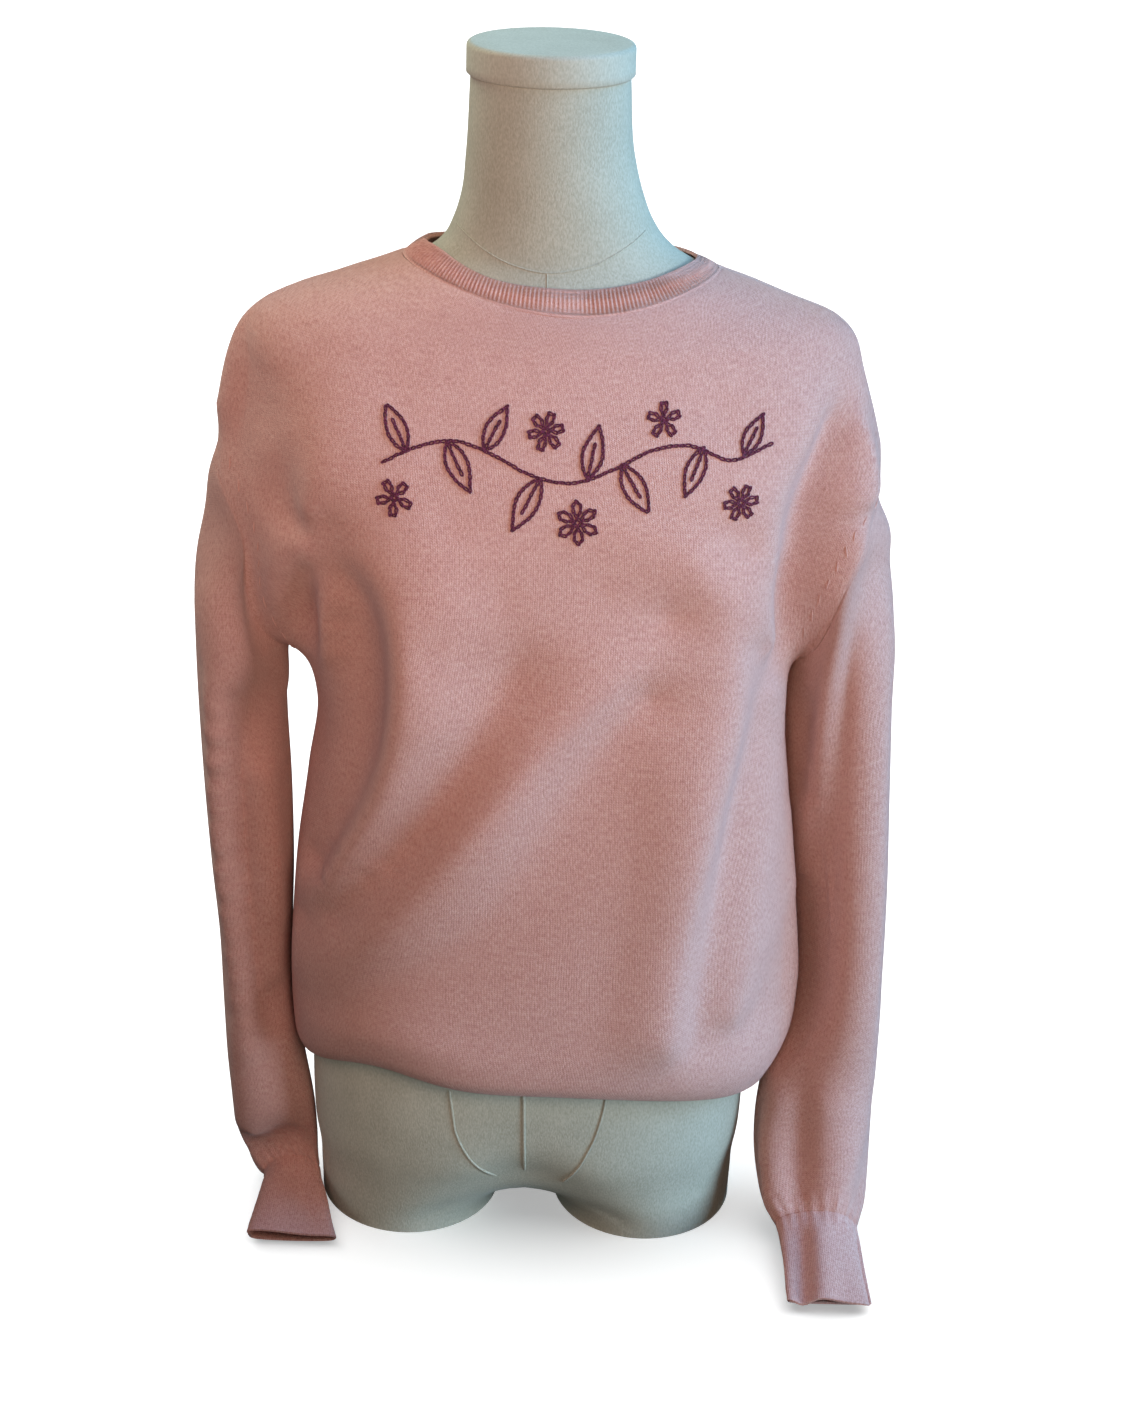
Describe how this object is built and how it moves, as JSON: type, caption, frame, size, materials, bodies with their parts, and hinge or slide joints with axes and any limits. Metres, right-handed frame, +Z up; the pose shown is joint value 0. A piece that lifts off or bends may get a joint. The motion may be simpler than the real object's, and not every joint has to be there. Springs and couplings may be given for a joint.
{
  "type": "embroidered sweater on a dress form",
  "caption": "Fine-knit crew-neck sweater with chest embroidery, bloused hem and long sleeves, worn by a limbless dress form that stands on flat-cut stumps.",
  "frame": {"origin": "on the ground plane, in the middle of the whole footprint", "axes": "+Z up along the dress form's neck; the sweater's front faces -Y and the wearer's right side, on the left as seen from the front, is -X"},
  "size_m": [0.49, 0.2997, 0.843],
  "materials": {
    "wool": "fine brushed knit, dusty pink",
    "rib": "1x1 rib of the same yarn",
    "form_cover": "greige woven cover stretched over a moulded form",
    "form_cap": "the same cover on a round cap"
  },
  "bodies": {
    "root": {"form_torso": "form_cover", "form_neck_cap": "form_cap", "sweater_front": "wool", "sweater_back": "wool", "sweater_sleeve_left": "wool", "sweater_sleeve_right": "wool", "sweater_neckband": "rib", "sweater_hem_band": "rib", "sweater_cuff_left": "rib", "sweater_cuff_right": "rib"}
  },
  "joints": []
}
